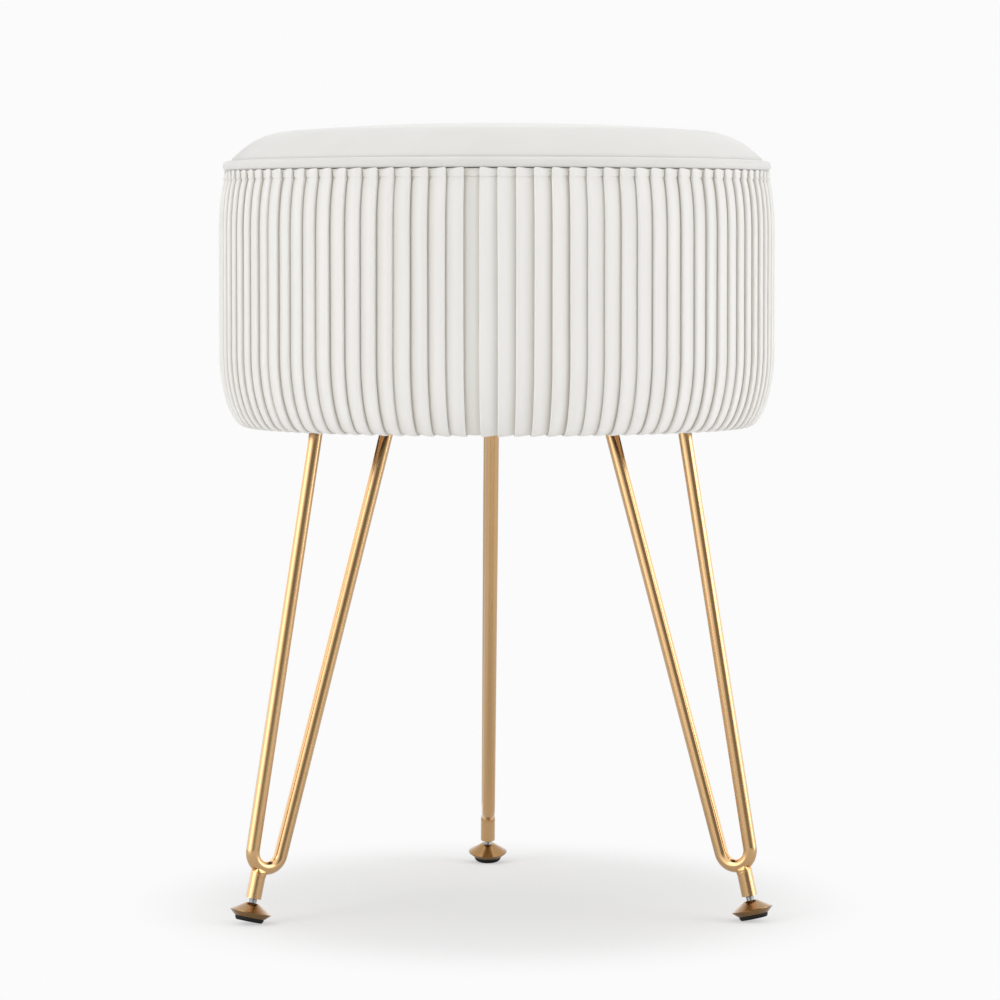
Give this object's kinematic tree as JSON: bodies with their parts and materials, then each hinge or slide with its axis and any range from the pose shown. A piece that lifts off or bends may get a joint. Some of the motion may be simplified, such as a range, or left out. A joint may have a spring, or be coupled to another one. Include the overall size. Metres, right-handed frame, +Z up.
{
  "type": "vanity stool",
  "caption": "Round storage stool: crowned velvet lid with piping, knife-pleated drum, hairpin legs with levelling feet.",
  "frame": {"origin": "on the drum's axis at floor level", "axes": "+Z up along the drum's axis; the pleats' front seam faces -Y; one leg stands at the back, towards +Y"},
  "size_m": [0.3298, 0.3448, 0.4646],
  "materials": {
    "velvet": "short cut pile, off-white",
    "lining_cloth": "plain woven lining, pale grey",
    "dust_cloth": "non-woven, black",
    "padding": "polyester wadding and foam",
    "cord": "twisted piping cord",
    "plywood": "sanded birch plywood",
    "brass_finish": "satin brass plating on steel",
    "zinc_steel": "bright zinc plating",
    "pad_rubber": "matt black"
  },
  "bodies": {
    "stand": {"drum_hoop": "plywood", "base_board": "plywood", "hoop_screws": "zinc_steel", "drum_wadding": "padding", "pleated_cover": "velvet", "wall_lining": "lining_cloth", "floor_lining": "lining_cloth", "dust_cover": "dust_cloth", "tee_nuts": "zinc_steel", "leg_plate_1": "brass_finish", "hairpin_rod_1": "brass_finish", "ferrule_1": "brass_finish", "leg_screws_1": "zinc_steel", "leg_plate_2": "brass_finish", "hairpin_rod_2": "brass_finish", "ferrule_2": "brass_finish", "leg_screws_2": "zinc_steel", "leg_plate_3": "brass_finish", "hairpin_rod_3": "brass_finish", "ferrule_3": "brass_finish", "leg_screws_3": "zinc_steel"},
    "lid": {"lid_board": "plywood", "lid_foam": "padding", "lid_cover": "velvet", "lid_welt": "velvet", "welt_core": "cord", "locating_disc": "plywood", "lid_lining": "lining_cloth", "disc_screws": "zinc_steel"},
    "stud_1": {"foot_stud_1": "zinc_steel"},
    "foot_1": {"foot_cone_1": "brass_finish", "foot_pad_1": "pad_rubber"},
    "stud_2": {"foot_stud_2": "zinc_steel"},
    "foot_2": {"foot_cone_2": "brass_finish", "foot_pad_2": "pad_rubber"},
    "stud_3": {"foot_stud_3": "zinc_steel"},
    "foot_3": {"foot_cone_3": "brass_finish", "foot_pad_3": "pad_rubber"}
  },
  "joints": [
    {"name": "lid_lift", "type": "slide", "parent": "stand", "child": "lid", "axis": [0, 0, 1], "range_m": [0, 0.15]},
    {"name": "foot_1_level", "type": "slide", "parent": "stand", "child": "stud_1", "axis": [0, 0.2284, -0.9736], "range_m": [-0.002, 0.006]},
    {"name": "foot_1_turn", "type": "hinge", "parent": "stud_1", "child": "foot_1", "pos_m": [0, 0.16944, 0.00174], "axis": [0, 0.2284, -0.9736], "range_deg": [-900, 2700]},
    {"name": "foot_2_level", "type": "slide", "parent": "stand", "child": "stud_2", "axis": [-0.1978, -0.1142, -0.9736], "range_m": [-0.002, 0.006]},
    {"name": "foot_2_turn", "type": "hinge", "parent": "stud_2", "child": "foot_2", "pos_m": [-0.14674, -0.08472, 0.00174], "axis": [-0.1978, -0.1142, -0.9736], "range_deg": [-900, 2700]},
    {"name": "foot_3_level", "type": "slide", "parent": "stand", "child": "stud_3", "axis": [0.1978, -0.1142, -0.9736], "range_m": [-0.002, 0.006]},
    {"name": "foot_3_turn", "type": "hinge", "parent": "stud_3", "child": "foot_3", "pos_m": [0.14674, -0.08472, 0.00174], "axis": [0.1978, -0.1142, -0.9736], "range_deg": [-900, 2700]}
  ],
  "couplings": [
    {"joint": "foot_1_level", "follows": "foot_1_turn", "m_per_rad": 0.00012732},
    {"joint": "foot_2_level", "follows": "foot_2_turn", "m_per_rad": 0.00012732},
    {"joint": "foot_3_level", "follows": "foot_3_turn", "m_per_rad": 0.00012732}
  ]
}
